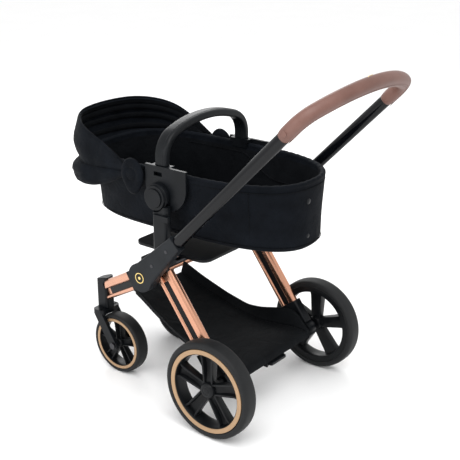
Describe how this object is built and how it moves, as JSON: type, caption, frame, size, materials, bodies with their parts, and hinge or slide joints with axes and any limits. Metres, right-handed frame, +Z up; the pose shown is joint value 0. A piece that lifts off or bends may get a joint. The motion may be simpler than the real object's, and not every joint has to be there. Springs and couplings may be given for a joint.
{
  "type": "baby stroller with carrycot",
  "caption": "Folding pram frame with telescopic leather grip, swivel front wheels, large rear wheels, fabric basket and a canopied carrycot.",
  "frame": {"origin": "on the floor, under the middle of the bounding box", "axes": "+X to the left of the person pushing, +Y towards the person pushing, +Z up"},
  "size_m": [0.586, 1.0186, 1.0241],
  "materials": {
    "tyre_rubber": "matte",
    "rim_plastic": "satin",
    "copper_trim": "satin",
    "rose_gold": "polished",
    "dark_inlay": "matte",
    "black_plastic": "satin",
    "charcoal_plastic": "satin",
    "black_tube": "gloss",
    "tube_silver": "satin",
    "dark_steel": "satin",
    "gold": "polished",
    "brown_leather": "satin",
    "black_leatherette": "satin",
    "black_fabric": "woven",
    "mattress_fabric": "soft",
    "basket_fabric": "woven"
  },
  "bodies": {
    "chassis": {"front_leg_left": "rose_gold", "front_leg_right": "rose_gold", "front_leg_inlays": "dark_inlay", "steering_head_left": "black_plastic", "steering_head_right": "black_plastic", "joint_body_left": "black_plastic", "joint_body_right": "black_plastic", "pivot_shaft": "dark_steel", "seat_tower_left": "black_plastic", "seat_tower_right": "black_plastic", "hub_left": "black_plastic", "hub_right": "black_plastic", "cross_plate": "black_plastic"},
    "handle": {"handle_tube_left": "black_tube", "handle_tube_right": "black_tube", "handle_joint_left": "charcoal_plastic", "handle_joint_right": "charcoal_plastic", "joint_badges": "gold", "housing_screws": "dark_steel"},
    "grip": {"inner_tubes": "tube_silver", "grip_bar": "brown_leather", "grip_badge": "gold", "grip_rivets": "brown_leather"},
    "height_release": {"height_button": "black_plastic"},
    "rear_frame": {"rear_leg_left": "rose_gold", "rear_leg_right": "rose_gold", "rear_leg_inlays": "dark_inlay", "rear_foot_left": "black_plastic", "rear_foot_right": "black_plastic", "rear_axle": "black_plastic", "basket": "basket_fabric"},
    "pedal": {"brake_pedal": "black_plastic"},
    "carrycot": {"cot_shell": "black_fabric", "mattress": "mattress_fabric", "cot_brackets": "black_plastic", "canopy_rear_cloth": "black_fabric"},
    "bumper": {"bumper_bar": "black_leatherette"},
    "canopy_mid": {"canopy_mid_bow": "black_fabric", "canopy_front_cloth": "black_fabric"},
    "canopy_front": {"canopy_front_bow": "black_fabric"},
    "tower_release_left": {"release_button_left": "black_plastic"},
    "hub_release_left": {"hub_button_left": "black_plastic"},
    "rear_wheel_left": {"rear_tyre_left": "tyre_rubber", "rear_trim_ring_left": "copper_trim", "rear_rim_left": "rim_plastic"},
    "caster_left": {"fork_left": "black_plastic", "front_axle_left": "dark_steel"},
    "front_wheel_left": {"front_tyre_left": "tyre_rubber", "front_trim_ring_left": "copper_trim", "front_rim_left": "rim_plastic"},
    "tower_release_right": {"release_button_right": "black_plastic"},
    "hub_release_right": {"hub_button_right": "black_plastic"},
    "rear_wheel_right": {"rear_tyre_right": "tyre_rubber", "rear_trim_ring_right": "copper_trim", "rear_rim_right": "rim_plastic"},
    "caster_right": {"fork_right": "black_plastic", "front_axle_right": "dark_steel"},
    "front_wheel_right": {"front_tyre_right": "tyre_rubber", "front_trim_ring_right": "copper_trim", "front_rim_right": "rim_plastic"}
  },
  "joints": [
    {"name": "handle_fold", "type": "hinge", "parent": "chassis", "child": "handle", "pos_m": [0, -0.09035, 0.408], "axis": [1, 0, 0], "range_deg": [0, 150]},
    {"name": "rear_fold", "type": "hinge", "parent": "chassis", "child": "rear_frame", "pos_m": [0, -0.09035, 0.408], "axis": [1, 0, 0], "range_deg": [-35.1, 0]},
    {"name": "handle_height", "type": "slide", "parent": "handle", "child": "grip", "axis": [0, 0.6972, 0.7169], "range_m": [0, 0.09]},
    {"name": "height_press", "type": "slide", "parent": "grip", "child": "height_release", "axis": [0, 0.6972, 0.7169], "range_m": [0, 0.003], "stiffness_N_per_m": 600},
    {"name": "brake_press", "type": "hinge", "parent": "rear_frame", "child": "pedal", "pos_m": [0, 0.19815, 0.132], "axis": [-1, 0, 0], "range_deg": [0, 18]},
    {"name": "cot_tilt", "type": "hinge", "parent": "chassis", "child": "carrycot", "pos_m": [0, -0.06535, 0.642], "axis": [1, 0, 0], "range_deg": [-10, 10]},
    {"name": "bumper_lift", "type": "slide", "parent": "carrycot", "child": "bumper", "axis": [0, 0, 1], "range_m": [0, 0.05]},
    {"name": "canopy_open", "type": "hinge", "parent": "carrycot", "child": "canopy_mid", "pos_m": [0, -0.17135, 0.692], "axis": [-1, 0, 0], "range_deg": [0, 45]},
    {"name": "canopy_front_open", "type": "hinge", "parent": "canopy_mid", "child": "canopy_front", "pos_m": [0, -0.17135, 0.692], "axis": [-1, 0, 0], "range_deg": [0, 40.1]},
    {"name": "tower_press_left", "type": "slide", "parent": "chassis", "child": "tower_release_left", "axis": [-1, 0, 0], "range_m": [0, 0.003], "stiffness_N_per_m": 600},
    {"name": "hub_press_left", "type": "slide", "parent": "chassis", "child": "hub_release_left", "axis": [-1, 0, 0], "range_m": [0, 0.004], "stiffness_N_per_m": 600},
    {"name": "rear_spin_left", "type": "hinge", "parent": "rear_frame", "child": "rear_wheel_left", "pos_m": [0.268, 0.17165, 0.145], "axis": [1, 0, 0], "continuous": true},
    {"name": "swivel_left", "type": "hinge", "parent": "chassis", "child": "caster_left", "pos_m": [0.144, -0.35036, 0.205], "axis": [0, 0, 1], "continuous": true},
    {"name": "front_spin_left", "type": "hinge", "parent": "caster_left", "child": "front_wheel_left", "pos_m": [0.144, -0.29036, 0.097], "axis": [1, 0, 0], "continuous": true},
    {"name": "tower_press_right", "type": "slide", "parent": "chassis", "child": "tower_release_right", "axis": [1, 0, 0], "range_m": [0, 0.003], "stiffness_N_per_m": 600},
    {"name": "hub_press_right", "type": "slide", "parent": "chassis", "child": "hub_release_right", "axis": [1, 0, 0], "range_m": [0, 0.004], "stiffness_N_per_m": 600},
    {"name": "rear_spin_right", "type": "hinge", "parent": "rear_frame", "child": "rear_wheel_right", "pos_m": [-0.268, 0.17165, 0.145], "axis": [1, 0, 0], "continuous": true},
    {"name": "swivel_right", "type": "hinge", "parent": "chassis", "child": "caster_right", "pos_m": [-0.144, -0.35036, 0.205], "axis": [0, 0, 1], "continuous": true},
    {"name": "front_spin_right", "type": "hinge", "parent": "caster_right", "child": "front_wheel_right", "pos_m": [-0.144, -0.29036, 0.097], "axis": [1, 0, 0], "continuous": true}
  ],
  "couplings": [
    {"joint": "rear_fold", "follows": "handle_fold", "ratio": -0.2333},
    {"joint": "canopy_front_open", "follows": "canopy_open", "ratio": 0.8889}
  ]
}
